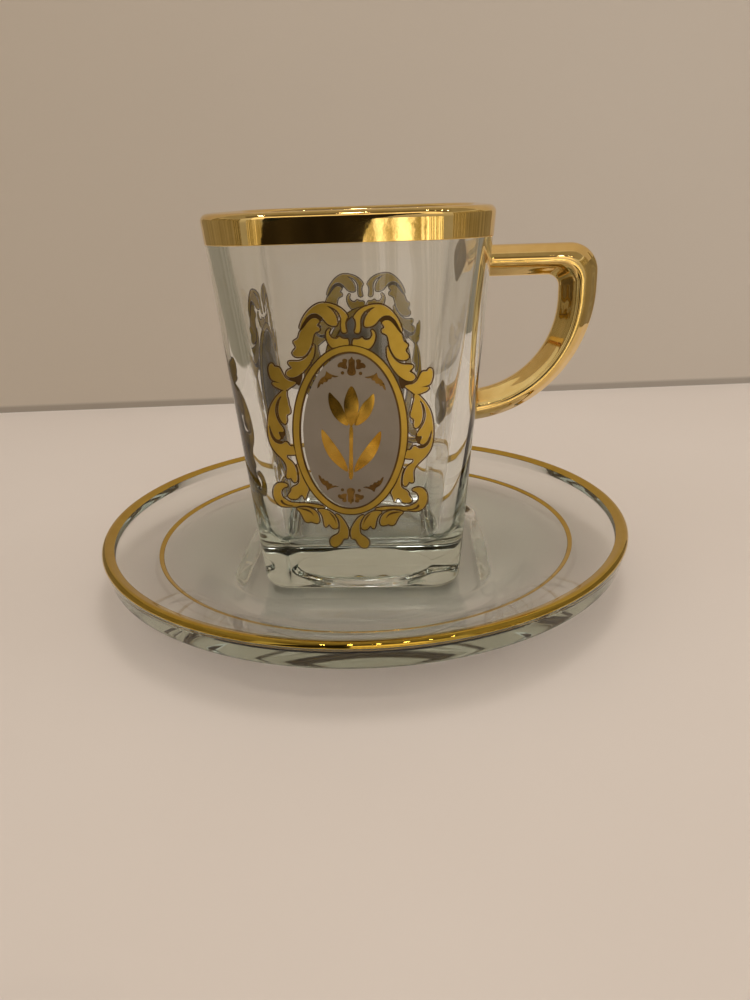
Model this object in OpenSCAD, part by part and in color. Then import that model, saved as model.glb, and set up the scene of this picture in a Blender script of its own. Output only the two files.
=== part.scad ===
// Square tapered tea cup of pressed glass with a gilded handle, standing on its round saucer.
// Millimetres. Z is up, the saucer stands on z = 0, the handle points to +X, the front is -Y.

/* [Saucer] */
// Outside diameter of the saucer
saucer_d = 120; // [112:0.5:140]
// Glass thickness of the flange
saucer_t = 5; // [3.5:0.1:6]
// Height of the flat floor above the table
floor_z = 6.2; // [5.8:0.1:8]
// Radius of the flat floor
floor_r = 36.5; // [35.5:0.1:38]
// Radius of the bend between floor and flange
bend_r = 21.9; // [18:0.1:28]
// Slope of the flange in degrees
flange_slope = 23; // [16:0.5:26]
// Rounding of the rim's edges
rim_round = 0.9; // [0.5:0.1:1.3]
// How far the side of the rim leans inwards
rim_draft = 0.9; // [0.3:0.1:2]
// Radius of the bend between the flat sole and the underside of the flange
sole_bend = 42; // [30:1:60]

/* [Well] */
// Width of the square well at the floor
well_w = 57; // [55:0.5:58]
// Corner radius of the well at the floor
well_corner = 12; // [10:0.5:16]
// Depth of the well
well_depth = 2.2; // [2:0.1:3.2]
// How far the well narrows towards its bottom, on each side
well_draft = 2.6; // [1:0.1:4]

/* [Cup] */
// Height of the cup
cup_h = 77.7; // [70:0.1:90]
// Width across the flats at the base
base_w = 42.8; // [38:0.1:46]
// Width across the flats at the lip
lip_w = 56.1; // [52:0.1:62]
// Distance of the corner centres from the middle
corner_c = 15.1; // [13:0.1:17]
// Wall thickness at the lip
wall_lip = 2.3; // [1.8:0.1:3]
// Wall thickness above the base
wall_foot = 4.2; // [3:0.1:5.5]
// Glass thickness of the base
base_t = 9.3; // [7:0.1:12]
// Distance of the inner corner centres from the middle
inner_c = 12.6; // [11:0.1:13.5]
// Fillet radius inside the bottom
inner_fillet = 4; // [2.5:0.1:4.5]
// Chamfer around the foot of the cup
foot_chamfer = 1.4; // [0.8:0.1:2]
// Radius of the rounded lip
lip_round = 0.9; // [0.5:0.05:0.9]
// Diameter of the round hollow under the base
punt_d = 33; // [24:0.5:36]
// Depth of the round hollow under the base
punt_depth = 1.1; // [0.6:0.1:2.5]

/* [Handle] */
// Reach of the handle beyond the lip
handle_reach = 22.85; // [20:0.1:28]
// Distance from the gold band down to the handle
handle_gap = 1.1; // [1:0.1:4]
// Height of the top bar
bar_h = 6.4; // [5:0.1:8]
// Width of the upright and the lower bow
bow_w = 7.9; // [6:0.1:9]
// Height of the lower arm where it meets the wall
arm_h = 6.9; // [5:0.1:8]
// Thickness of the handle from front to back
handle_t = 10; // [7:0.1:12]
// Outer radius of the lower bow
bow_r = 28.8; // [25:0.1:33]
// Inner radius of the lower bow
bow_in = 19.5; // [17:0.1:22]
// Radius of the outer top corner
elbow_out = 6; // [4:0.1:7]
// Radius of the inner top corner
elbow_in = 2.5; // [1.5:0.1:3]
// Drop from the top of the handle to the middle of the lower bow
bow_drop = 8.8; // [7.5:0.1:11]
// Flare of the handle where it meets the wall
flare = 1.5; // [0.5:0.1:2]
// Place of the handle's ridge, from its middle (0) to its outer side (1)
ridge_shift = 0.3; // [0:0.05:0.5]

/* [Gilding] */
// Thickness of every fired layer
film = 0.15; // [0.1:0.01:0.2]
// Height of the gold band around the lip
lip_band = 5.5; // [3:0.1:7]
// Width of the gold band on the flange
rim_band = 1.3; // [1.2:0.1:4]
// Radius of the fine gold line
line_r = 47.6; // [47.5:0.1:51]
// Width of the fine gold line
line_w = 1; // [0.6:0.1:1.2]

/* [Ornament] */
// Height of the ornament's middle above the foot of the cup
ornament_z = 36.2; // [35:0.1:40]
// Tilt of the front ornament, set on by hand
ornament_tilt = 2.6; // [-3:0.1:3]
// Half width of the oval
oval_a = 9.5; // [8:0.1:9.7]
// Half height of the oval
oval_b = 16; // [14:0.1:16.2]
// Width of the ring around the oval
ring_w = 1.6; // [1:0.1:2.2]
// Gap between the oval and its ring
ring_gap = 0.4; // [0.2:0.05:0.6]
// Margin that the dark contour adds around each leaf
contour = 0.15; // [0.05:0.01:0.25]

/* [Hidden] */
$fn = 96;
saucer_r = saucer_d / 2;
bend_x = floor_r + bend_r * sin(flange_slope);
bend_z = floor_z + bend_r * (1 - cos(flange_slope));
rim_x = saucer_r - film - rim_round;
rim_z = bend_z + (rim_x - bend_x) * tan(flange_slope) - rim_round / cos(flange_slope);
hem_x = rim_x - rim_draft;
hem_z = rim_z - (saucer_t - 2 * rim_round) / cos(flange_slope) - rim_draft * tan(flange_slope);
side_lean = atan(rim_draft / (rim_z - hem_z));
hem_from = flange_slope - 90;
flange_x = rim_x - rim_round * sin(flange_slope);
under_x = bend_x + saucer_t * sin(flange_slope);
under_z = bend_z - saucer_t * cos(flange_slope);
sole_r = under_x - under_z / tan(flange_slope) - sole_bend * tan(flange_slope / 2);
well_z = floor_z - well_depth;
cup_z = well_z;
base_r = base_w / 2 - corner_c;
lip_r = lip_w / 2 - corner_c;
slope = (lip_r - base_r) / cup_h;
lean = atan(slope);
inner_lip = lip_w / 2 - wall_lip - inner_c;
inner_foot = half_w(base_t) - wall_foot - inner_c;
fillet = min(inner_fillet, inner_foot - 0.3);
lip_edge = min(lip_round, wall_lip * 0.4);
line_x = max(line_r, bend_x + line_w / 2 + 0.1);
inner_slope = (inner_lip - inner_foot) / (cup_h - base_t);
handle_top = cup_h - lip_band - flare - handle_gap;
handle_x = lip_w / 2 + handle_reach;
gap_x = handle_x - bow_w;
bow_z = handle_top - max(bow_drop, elbow_out + 0.5);
gap_z = min(bow_z - bow_r + bow_in + arm_h, handle_top - bar_h - elbow_in - 0.5);
arm_x = half_w(bow_z - bow_r + arm_h) + flare + 1.2;
out_end = acos(min(0.5, max(-0.5, (arm_x - handle_x + bow_r) / bow_r)));
in_end = acos(min(0.5, max(-0.5, (arm_x - gap_x + bow_in) / bow_in)));
arm_low = bow_z - bow_r * sin(out_end);
arm_top = gap_z - bow_in * sin(in_end);
ring_a = oval_a + ring_gap + ring_w;
ring_b = oval_b + ring_gap + ring_w;

// Half width of the cup across the flats at a height above its foot
function half_w(z) = corner_c + base_r + slope * z;

// Point on a circle
function on_circle(x, y, r, a) = [x + r * cos(a), y + r * sin(a)];

// Top surface of the flange, raised by a film
function flange(x, up) = [
    x - up * sin(flange_slope),
    bend_z + (x - bend_x) * tan(flange_slope) + up * cos(flange_slope)];

// Direction of a step around the top edge of the rim
function rim_angle(k) = -side_lean + k * (90 + flange_slope + side_lean) / 6;

// Sine and cosine of a section that has a ridge in front and behind, nearer to its outer side
function lean_cos(a) = ridge_shift + (sign(cos(a)) - ridge_shift) * pow(abs(cos(a)), 1.75);
function lean_sin(a) = sign(sin(a)) * pow(abs(sin(a)), 1.15);

// Mirror image of an outline about the upright axis
function mirrored(p) = [for (i = [len(p) - 1 : -1 : 0]) [-p[i][0], p[i][1]]];

// Ellipse as an outline
function ellipse(a, b, n = 72) = [for (i = [0 : n - 1]) [a * cos(i * 360 / n), b * sin(i * 360 / n)]];

// Solid with a rounded square plan: the profile is turned at each corner and drawn along each side
module square_turned(c, profile) {
    outline = concat(mirrored([for (q = profile) [q[0] + c, q[1]]]), [for (q = profile) [q[0] + c, q[1]]]);
    for (sx = [-1, 1], sy = [-1, 1])
        translate([sx * c, sy * c, 0])
            rotate_extrude()
                polygon(concat([[0, profile[0][1]]], profile, [[0, profile[len(profile) - 1][1]]]));
    for (a = [0, 90])
        rotate([0, 0, a])
            rotate([90, 0, 0])
                translate([0, 0, -c])
                    linear_extrude(2 * c)
                        polygon(outline);
}

// Closed ring with a rounded square plan
module square_ring(c, section) {
    for (k = [0 : 3])
        rotate([0, 0, 90 * k]) {
            translate([c, c, 0])
                rotate_extrude(angle = 90)
                    polygon(section);
            translate([c, c, 0])
                rotate([90, 0, 0])
                    linear_extrude(2 * c)
                        polygon(section);
        }
}

// Brings a drawing onto the flat of one wall: u to the right, v up the wall, seen from outside
module on_wall(turn, tilt, up) {
    translate([0, 0, cup_z])
        rotate([0, 0, turn])
            translate([0, -half_w(ornament_z), ornament_z])
                rotate([90 + lean, 0, 0])
                    rotate([0, 0, -tilt])
                        translate([0, 0, up])
                            linear_extrude(film)
                                children();
}

// Saucer of pressed glass
module saucer_glass() {
    bend_zc = floor_z + bend_r;
    profile = concat(
        [[0, 0]],
        [for (k = [0 : 6]) on_circle(sole_r, sole_bend, sole_bend, k * flange_slope / 6 - 90)],
        [for (k = [0 : 4]) on_circle(hem_x, hem_z, rim_round, hem_from + k * (-side_lean - hem_from) / 4)],
        [for (k = [0 : 6]) on_circle(rim_x, rim_z, rim_round, rim_angle(k))],
        [for (a = [flange_slope : -3 : 0]) on_circle(floor_r, bend_zc, bend_r, a - 90)],
        [[0, floor_z]]);
    color([0.86, 0.9, 0.88, 0.4])
        difference() {
            rotate_extrude()
                polygon(profile);
            translate([0, 0, well_z])
                square_turned(well_w / 2 - well_corner, [
                    [well_corner - well_draft, 0],
                    [well_corner, well_depth],
                    [well_corner, well_depth + 1]]);
        }
}

// Gold band fired over the rim of the saucer, down to its widest edge
module saucer_rim_gold() {
    band = [for (k = [6 : -1 : 1]) rim_angle(k)];
    color([0.85, 0.65, 0.25])
        rotate_extrude()
            polygon(concat(
                [flange(flange_x - rim_band, 0), flange(flange_x - rim_band, film)],
                [for (a = band) on_circle(rim_x, rim_z, rim_round + film, a)],
                [for (i = [len(band) - 1 : -1 : 0]) on_circle(rim_x, rim_z, rim_round, band[i])]));
}

// Fine gold line on the flange
module saucer_gold_line() {
    color([0.85, 0.65, 0.25])
        rotate_extrude()
            polygon([
                flange(line_x - line_w / 2, 0),
                flange(line_x + line_w / 2, 0),
                flange(line_x + line_w / 2, film),
                flange(line_x - line_w / 2, film)]);
}

// Outside of the cup from the foot to the lip
function outside() = [
    [base_r - foot_chamfer, 0],
    [base_r - foot_chamfer * 0.3 + slope * foot_chamfer, foot_chamfer * 0.4],
    [base_r + slope * foot_chamfer, foot_chamfer],
    [lip_r - slope * lip_edge, cup_h - lip_edge],
    [lip_r - lip_edge * 0.3, cup_h - lip_edge * 0.3],
    [lip_r - lip_edge, cup_h]];

// Inside of the cup from the bottom to past the lip
function inside() = concat(
    [for (a = [-90 : 18 : 0]) [inner_foot + fillet * (cos(a) - 1), base_t + fillet * (sin(a) + 1)]],
    [[inner_lip - inner_slope * lip_edge, cup_h - lip_edge],
     [inner_lip + lip_edge * 0.3, cup_h - lip_edge * 0.3],
     [inner_lip + lip_edge, cup_h],
     [inner_lip + lip_edge, cup_h + 2]]);

// Cup of pressed glass, with a hollow inside and a shallow round hollow underneath
module cup_glass() {
    color([0.88, 0.92, 0.9, 0.35])
        translate([0, 0, cup_z])
            difference() {
                square_turned(corner_c, outside());
                square_turned(inner_c, inside());
                translate([0, 0, -1])
                    cylinder(h = 1 + punt_depth, d1 = punt_d + 2, d2 = punt_d - 2 * punt_depth);
            }
}

// Gold band fired around the lip
module cup_rim_gold() {
    z = cup_h - lip_band;
    out = outside();
    lip_flat = (wall_lip - 2 * lip_edge) * 0.8;
    color([0.85, 0.65, 0.25])
        translate([0, 0, cup_z])
            square_ring(corner_c, [
                [base_r + slope * z, z],
                [base_r + slope * z + film, z],
                [out[3][0] + film, out[3][1]],
                [out[4][0] + film * 0.7, out[4][1] + film * 0.7],
                [out[5][0], out[5][1] + film],
                [out[5][0] - lip_flat, out[5][1] + film],
                [out[5][0] - lip_flat, out[5][1]],
                out[5],
                out[4],
                out[3]]);
}

// Half outline of the handle in the upright plane: pairs of an outer and an inner point
function pairs() =
    let (z1 = handle_top,
         z2 = handle_top - bar_h,
         start = half_w(z1) + 3,
         n = 12)
    concat(
        [for (k = [0 : 3]) let (f = k / 4)
            [[start + f * (handle_x - elbow_out - start), z1], [start + f * (gap_x - elbow_in - start), z2]]],
        [for (a = [90 : -15 : 0])
            [on_circle(handle_x - elbow_out, z1 - elbow_out, elbow_out, a),
             on_circle(gap_x - elbow_in, z2 - elbow_in, elbow_in, a)]],
        [for (k = [0 : n])
            [on_circle(handle_x - bow_r, bow_z, bow_r, -k * out_end / n),
             on_circle(gap_x - bow_in, gap_z, bow_in, -k * in_end / n)]]);

// Ring of points around the handle between an outer and an inner point
function ring(o, i, n = 20) =
    let (mid = (o + i) / 2, half = (o - i) / 2)
    [for (k = [0 : n - 1])
        let (a = k * 360 / n, s = lean_cos(a), t = lean_sin(a))
        [mid[0] + half[0] * s, t * handle_t / 2, mid[1] + half[1] * s]];

// Ring of points on the wall or a little off it, widened by a flare
function wall_ring(z, half, off, grow, n = 20) =
    [for (k = [0 : n - 1])
        let (a = k * 360 / n, s = lean_cos(a), t = lean_sin(a), h = z + (half + grow * sign(half)) * s)
        [half_w(h) + off, t * (handle_t / 2 + grow), h]];

// Handle of solid glass, fused to the wall and gilded all over
module cup_handle() {
    n = 20;
    top_z = handle_top - bar_h / 2;
    low_z = (arm_low + arm_top) / 2 - 0.3;
    steps = [for (k = [0 : 3]) [k * flare / 3, flare * pow(1 - k / 3, 2)]];
    rings = concat(
        [for (s = steps) wall_ring(top_z, bar_h / 2, s[0], s[1])],
        [for (q = pairs()) ring(q[0], q[1])],
        [for (k = [3 : -1 : 0]) wall_ring(low_z, (arm_low - arm_top) / 2, steps[k][0], steps[k][1])]);
    m = len(rings);
    points = [for (r = rings) for (q = r) q];
    sides = [for (j = [0 : m - 2]) for (k = [0 : n - 1]) for (h = [0, 1])
        let (a = j * n + k, b = j * n + (k + 1) % n)
        h == 0 ? [a, b, b + n] : [a, b + n, a + n]];
    caps = [[for (k = [n - 1 : -1 : 0]) k], [for (k = [0 : n - 1]) (m - 1) * n + k]];
    color([0.85, 0.65, 0.25])
        translate([0, 0, cup_z])
            polyhedron(points, concat(sides, caps), convexity = 6);
}

// Leaves and scrolls on the left half of the frame, read upwards from the middle of the oval
leaves = [
    // Top arch
    [[-10, 19.3], [-9.9, 21], [-9.2, 22.9], [-8.2, 24.3], [-6.8, 25.3], [-5, 25.7], [-3.9, 25.2],
     [-3, 24.4],
     [-2.5, 23.5], [-2.4, 22.4], [-2.6, 21.5], [-3.3, 21.4], [-4.2, 21.8], [-5, 22.6], [-5.7, 23.3],
     [-6.7, 23.6], [-7.7, 23.4], [-8.6, 22.7], [-9.3, 21.5]],
    // Leaf hanging from the arch
    [[-7.2, 22.7], [-6.3, 22.5], [-5.9, 22], [-6.4, 21.5], [-6.1, 20.3], [-7, 19.4], [-7.2, 18.7],
     [-8, 16.8],
     [-8.7, 15.9], [-9.6, 15.2], [-10.5, 15.1], [-11.2, 15.5], [-11.3, 16.2], [-10.8, 16.7], [-11.1, 17.8],
     [-10.3, 18.7], [-9.6, 20.2], [-8.3, 22.1]],
    // Strap that meets its mirror image at the top
    [[-4.4, 25.4], [-2.2, 24.7], [-1, 23.7], [-0.2, 22.6], [-0.2, 20.4], [-0.6, 19.3], [-1.2, 20],
     [-1.9, 20.4],
     [-1.9, 22], [-1.8, 23], [-2.3, 24], [-3.2, 24.9]],
    // Small volute over the ring
    [[-3.9, 20.7], [-4.5, 20.6], [-4.9, 19.9], [-4.8, 18.9], [-4.4, 18], [-3.7, 17.2], [-1.2, 17.4],
     [0, 17.4],
     [0, 18.6], [-0.6, 19.2], [-1.2, 18.9], [-1.8, 19], [-2.4, 19.3], [-3.2, 19], [-3.9, 19.6]],
    // Leaf along the upper side of the ring
    [[-6.8, 17.6], [-7.2, 15.8], [-7.6, 14.8], [-8.2, 13.7], [-9, 12.6], [-9.8, 11.8], [-10.9, 11.1],
     [-11.8, 11.1],
     [-12.4, 11.6], [-12.4, 12.1], [-11.4, 12.8], [-12, 13.9], [-10.3, 14.2], [-8.7, 15.2], [-7.9, 16.2]],
    // Leaf that stands out at the upper side
    [[-15.3, 13.8], [-14.9, 13.3], [-13.7, 12.7], [-13.3, 11.8], [-12.8, 10.9], [-12, 10.4], [-10.7, 10.1],
     [-10.7, 9.6], [-12.2, 8.7], [-13.2, 8.5], [-14.2, 8.8], [-15.1, 9.4], [-14.6, 10.2], [-15.3, 10.8],
     [-15.8, 11.8], [-15.9, 12.9]],
    // Large scroll at the side
    [[-13.4, 8.2], [-14.6, 7.2], [-15.7, 5.6], [-16.4, 3.8], [-16.8, 1.6], [-16.8, -0.8], [-16.4, -3],
     [-15.6, -4.6],
     [-14.4, -5.6], [-12.8, -5.9], [-11, -4.9], [-11.2, -3.3], [-12.4, -2.8], [-13.2, -2], [-14.4, -2.1],
     [-14.2, -1.2], [-13.5, -0.5], [-13.4, 0.3], [-14.3, 1.8], [-14.9, 3.4], [-14.8, 5], [-14.2, 6.6]],
    // Leaf inside the large scroll
    [[-13.5, 8.2], [-12.6, 8], [-12.3, 6.4], [-12.1, 5], [-11.7, 4], [-12.6, 3.2], [-13, 1.6], [-13.6, 1.9],
     [-14.1, 2.7], [-14.3, 3.8], [-14.1, 5.6]],
    // Leaf along the lower side of the ring
    [[-12.6, -5.6], [-13.1, -7], [-13.3, -8.6], [-13.2, -10.2], [-12.2, -10.5], [-11.6, -11.1],
     [-10.4, -11.8],
     [-9.4, -10.5], [-10.4, -8], [-11, -6], [-11.8, -5.4]],
    // Lobed leaf beside the corner scroll
    [[-9.8, -11.6], [-11.8, -12.1], [-12.4, -12.6], [-13, -14], [-12.3, -14.8], [-10.8, -14.1],
     [-9.6, -14.2],
     [-8.8, -13], [-8.8, -11.4]],
    // Scroll at the lower corner and the band that joins it to the ring
    [[-13, -12], [-13.8, -11.4], [-14.8, -11.3], [-15.7, -11.7], [-16.3, -12.8], [-16.3, -14.4],
     [-15.7, -16.1],
     [-14.8, -16.8], [-13.6, -17], [-11, -16.9], [-8.8, -17], [-6.8, -16.9], [-4, -18], [-2.6, -17.4],
     [-5.5, -15.4],
     [-8.5, -15.8], [-12, -15.9], [-13.6, -15.4], [-14.6, -14.4], [-14.7, -13.2], [-14, -12.2]],
    // First hanging leaf
    [[-11.2, -16.8], [-10.4, -18], [-9.9, -19.6], [-9.2, -20.3], [-8.5, -20.1], [-7.8, -20.5], [-7, -20.4],
     [-6.8, -19.6], [-7.1, -18.6], [-7.8, -17.7], [-8.4, -16.6]],
    // Second hanging leaf
    [[-6.8, -16.6], [-6, -17.8], [-5.7, -20.6], [-5.4, -21.3], [-4.7, -20.7], [-3.8, -21.5], [-3.2, -21.5],
     [-2.9, -20.8], [-3.4, -18.8], [-3.8, -17.2]],
    // Leaf at the bottom
    [[-3.8, -17.2], [-2.4, -19], [-0.9, -21.4], [0, -22.4], [0, -23.7], [-1.6, -24], [-2.8, -25.8],
     [-3.8, -26],
     [-4.5, -25.4], [-4.6, -24.4], [-3.2, -22.9], [-2.5, -21.6], [-2.6, -20]]
];

// Flat drawing of the frame: the ring around the oval and the leaves on both sides
module frame_drawing() {
    difference() {
        offset(delta = contour)
            union() {
                polygon(ellipse(ring_a, ring_b));
                for (p = leaves) {
                    polygon(p);
                    polygon(mirrored(p));
                }
            }
        polygon(ellipse(oval_a + ring_gap, oval_b + ring_gap));
    }
}

// Petals and leaves of the ornament on the oval, right half
petals = [
    // Side petal of the flower
    [[0.4, 2.2], [1.6, 2.6], [3.2, 4.2], [3.9, 6], [3.7, 7.8], [2.8, 6.8], [1.8, 6], [1, 4.6]],
    // Leaf beside the stem
    [[0.5, -7.4], [2.2, -6.4], [4, -4.2], [5, -1.6], [5.1, 0.6], [3.6, -0.9], [2, -3.2], [0.9, -5.4]],
    // Side leaf of the upper palmette
    [[0.8, 13], [1.4, 14.6], [2.4, 14.5], [2.7, 13.6], [1.8, 13]],
    // Side leaf of the lower palmette
    [[0.8, -13], [1.4, -14.6], [2.4, -14.5], [2.9, -13.6], [1.8, -13]],
    // Upper sprig
    [[2.4, 11.5], [4.6, 12.4], [6.7, 9], [5, 10.2], [4.4, 11]],
    // Lower sprig
    [[2.8, -11.8], [5, -12.2], [6.8, -9.2], [5.2, -10.4], [4.4, -11.3]]
];

// Flat drawing of the ornament on the oval
module motif_drawing() {
    // Middle petal
    polygon([[0, 2], [-1, 3.8], [-1.3, 6], [-0.7, 8], [0, 9], [0.7, 8], [1.3, 6], [1, 3.8]]);
    // Stem
    polygon([[-0.3, 1.6], [0.3, 1.6], [0.35, -8.4], [-0.35, -8.4]]);
    // Middle leaf of each palmette
    polygon([[-0.6, 12.2], [-0.5, 14.8], [0, 15.4], [0.5, 14.8], [0.6, 12.2], [0, 11.7]]);
    polygon([[-0.6, -12.6], [-0.5, -14.8], [0, -15.4], [0.5, -14.8], [0.6, -12.6], [0, -12.2]]);
    for (p = petals) {
        polygon(p);
        polygon(mirrored(p));
    }
}

// Gold frames fired onto three walls
module frame_front() { color([0.8, 0.6, 0.2]) on_wall(0, ornament_tilt, 0) frame_drawing(); }
module frame_left() { color([0.8, 0.6, 0.2]) on_wall(-90, 0, 0) frame_drawing(); }
module frame_back() { color([0.8, 0.6, 0.2]) on_wall(180, 0, 0) frame_drawing(); }

// Flat drawing of the oval
module oval_drawing() {
    polygon(ellipse(oval_a, oval_b));
}

// Silver ovals inside the frames
module medallion_front() { color([0.6, 0.6, 0.6]) on_wall(0, ornament_tilt, 0) oval_drawing(); }
module medallion_left() { color([0.6, 0.6, 0.6]) on_wall(-90, 0, 0) oval_drawing(); }
module medallion_back() { color([0.6, 0.6, 0.6]) on_wall(180, 0, 0) oval_drawing(); }

// Gold ornaments on the ovals
module motif_front() { color([0.75, 0.5, 0.15]) on_wall(0, ornament_tilt, film) motif_drawing(); }
module motif_left() { color([0.75, 0.5, 0.15]) on_wall(-90, 0, film) motif_drawing(); }
module motif_back() { color([0.75, 0.5, 0.15]) on_wall(180, 0, film) motif_drawing(); }

saucer_glass();
saucer_rim_gold();
saucer_gold_line();
cup_glass();
cup_handle();
cup_rim_gold();
frame_front();
frame_left();
frame_back();
medallion_front();
medallion_left();
medallion_back();
motif_front();
motif_left();
motif_back();
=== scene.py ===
import math
import bmesh
import bpy
from mathutils import Matrix, Vector


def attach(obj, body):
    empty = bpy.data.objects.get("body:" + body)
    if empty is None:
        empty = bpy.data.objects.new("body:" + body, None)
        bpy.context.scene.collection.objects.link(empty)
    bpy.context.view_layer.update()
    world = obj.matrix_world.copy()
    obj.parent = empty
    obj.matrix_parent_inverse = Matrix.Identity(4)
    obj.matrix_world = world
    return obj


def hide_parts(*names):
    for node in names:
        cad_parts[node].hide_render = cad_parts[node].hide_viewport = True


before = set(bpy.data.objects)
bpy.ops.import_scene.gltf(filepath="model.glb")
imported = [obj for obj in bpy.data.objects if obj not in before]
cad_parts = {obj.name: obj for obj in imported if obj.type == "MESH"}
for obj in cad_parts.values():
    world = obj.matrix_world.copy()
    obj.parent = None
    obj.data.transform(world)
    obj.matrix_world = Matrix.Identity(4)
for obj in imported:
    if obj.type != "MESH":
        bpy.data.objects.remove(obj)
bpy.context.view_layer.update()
scene = bpy.context.scene

# The camera stands a hand's length in front of the cup, a little above its lip, and looks down at it.
# Its place and its slight roll were found from the two gold circles of the saucer and the square lip.
EYE, TURN, DIP, ROLL = (0.012422, -0.174913, 0.083689), 0.05668, 0.3647, -0.03471
SENSOR, LENS, NEAREST = 36.0, 28.573, 0.005
ahead = Vector((-math.sin(TURN) * math.cos(DIP), math.cos(TURN) * math.cos(DIP), -math.sin(DIP)))
level = Vector((math.cos(TURN), math.sin(TURN), 0.0))
upright = level.cross(ahead)
right = math.cos(ROLL) * level + math.sin(ROLL) * upright
over = math.cos(ROLL) * upright - math.sin(ROLL) * level
eye = Matrix((right, over, -ahead)).transposed().to_4x4()
eye.translation = EYE
bpy.ops.object.camera_add()
camera = bpy.context.object
camera.name = "photo_camera"
camera.matrix_world = eye
camera.data.sensor_width = SENSOR
camera.data.lens = LENS
camera.data.clip_start = NEAREST
scene.camera = camera
scene.view_settings.view_transform = "Standard"
# How many faces of glass the light passes, and how many mirrors
GLASS_FACES, MIRRORS = 24, 8
scene.cycles.max_bounces = GLASS_FACES
scene.cycles.transmission_bounces = GLASS_FACES
scene.cycles.glossy_bounces = MIRRORS


# The stage: a pale lacquered board under the saucer and a plain beige panel behind it.
# The panel has one side only, so that it does not hide the cup from behind.
class Wire:
    """One socket of a finish. Sums and products of wires add Math nodes, and add() makes any other node."""

    def __init__(self, tree, socket=None):
        self.tree = tree
        self.socket = socket

    def add(self, kind, settings=None, sockets=None, out=0):
        node = self.tree.nodes.new(kind)
        for key, value in (settings or {}).items():
            if key == "stops":
                ramp = node.color_ramp.elements
                while len(ramp) < len(value):
                    ramp.new(0.5)
                for stop, (place, colour) in zip(ramp, value):
                    stop.position = place
                    stop.color = colour
            else:
                setattr(node, key, value)
        for key, value in (sockets or {}).items():
            if isinstance(value, Wire):
                self.tree.links.new(value.socket, node.inputs[key])
            else:
                node.inputs[key].default_value = value
        return Wire(self.tree, node.outputs[out] if len(node.outputs) else None)

    def math(self, operation, first, second=0.0):
        return self.add("ShaderNodeMath", {"operation": operation}, {0: first, 1: second})

    def __add__(self, other):
        return self.math("ADD", self, other)

    def __radd__(self, other):
        return self.math("ADD", other, self)

    def __sub__(self, other):
        return self.math("SUBTRACT", self, other)

    def __rsub__(self, other):
        return self.math("SUBTRACT", other, self)

    def __mul__(self, other):
        return self.math("MULTIPLY", self, other)

    def __rmul__(self, other):
        return self.math("MULTIPLY", other, self)


def new_finish(name):
    finish = bpy.data.materials.new(name)
    finish.use_nodes = True
    finish.node_tree.nodes.clear()
    return finish, Wire(finish.node_tree)


def flat_sheet(name, corner, along, up):
    """A sheet of the stage, from one corner along two edges."""
    bpy.ops.object.select_all(action="DESELECT")
    bpy.ops.mesh.primitive_plane_add(size=1.0)
    sheet = bpy.context.object
    sheet.name = name
    places = [(0, 0), (1, 0), (0, 1), (1, 1)]
    for vertex, (a, b) in zip(sheet.data.vertices, places):
        vertex.co = Vector(corner) + a * Vector(along) + b * Vector(up)
    return sheet


BOARD_DARK, BOARD_PALE = (0.59, 0.515, 0.455, 1), (0.68, 0.61, 0.555, 1)
# BOARD_FADE sets how steeply the board is painted paler towards the panel: a painted fall of light
BOARD_CLOUD, BOARD_FADE, BOARD_MIDDLE = 0.4, 1.6, 0.35
BOARD_Z, BOARD_LONG, BOARD_DEEP = -0.0001, (3, 0.234, 0), (0, 1.5, 0)
# Painted pool of light: a lighter patch painted on the board where the saucer's glass gathers the light
GLOW_WIDE, GLOW_LONG, GLOW_BACK = 0.052, 0.046, 0.010
GLOW_FULL, GLOW_NONE, GLOW_TONE = 0.55, 1.15, (0.74, 0.70, 0.60, 1)
lacquer, wire = new_finish("table_lacquer")
place = wire.add("ShaderNodeTexCoord", out="Object")
cloud = wire.add("ShaderNodeTexNoise", {}, {"Vector": place, "Scale": 9.0, "Detail": 3.0})
deep = wire.add("ShaderNodeSeparateXYZ", {}, {"Vector": place}, "Y")
# Painted light and shade: the board is painted paler towards the panel and darker towards the front, over a
# random cloud
tone = wire.add("ShaderNodeValToRGB", {"stops": [(0.2, BOARD_DARK), (0.8, BOARD_PALE)]}, {
    "Fac": cloud * BOARD_CLOUD + deep * BOARD_FADE + BOARD_MIDDLE})
# Painted pool of light: the board's colour is mixed towards GLOW_TONE in an oval under the saucer
wide = wire.add("ShaderNodeSeparateXYZ", {}, {"Vector": place}, "X") * (1 / GLOW_WIDE)
long = deep * (1 / GLOW_LONG) - GLOW_BACK / GLOW_LONG
glow = wire.add("ShaderNodeMapRange", {}, {
    "Value": wide * wide + long * long, "From Min": GLOW_FULL, "From Max": GLOW_NONE,
    "To Min": 1.0, "To Max": 0.0})
tone = wire.add("ShaderNodeMix", {"data_type": "RGBA", "blend_type": "MIX"}, {
    "Factor": glow, 6: tone, 7: GLOW_TONE}, 2)
board = wire.add("ShaderNodeBsdfPrincipled", {}, {"Base Color": tone, "Roughness": 0.38, "IOR": 1.35}, "BSDF")
wire.add("ShaderNodeOutputMaterial", {}, {"Surface": board})
table = flat_sheet("table", (-1.5, -0.228, BOARD_Z), BOARD_LONG, BOARD_DEEP)
table.data.materials.append(lacquer)
# The near half of the board stays out of the mirrors and the glass
apron = flat_sheet("table_front", (-1.5, -1.728, BOARD_Z), BOARD_LONG, BOARD_DEEP)
apron.data.materials.append(lacquer)
apron.visible_glossy = False
apron.visible_transmission = False

PANEL_DARK, PANEL_PALE = (0.52, 0.445, 0.36, 1), (0.61, 0.545, 0.475, 1)
# PANEL_FADE sets how steeply the panel is painted paler towards the right: a painted fall of light
PANEL_CLOUD, PANEL_FADE, PANEL_MIDDLE = 0.4, 1.3, 0.3
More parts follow.
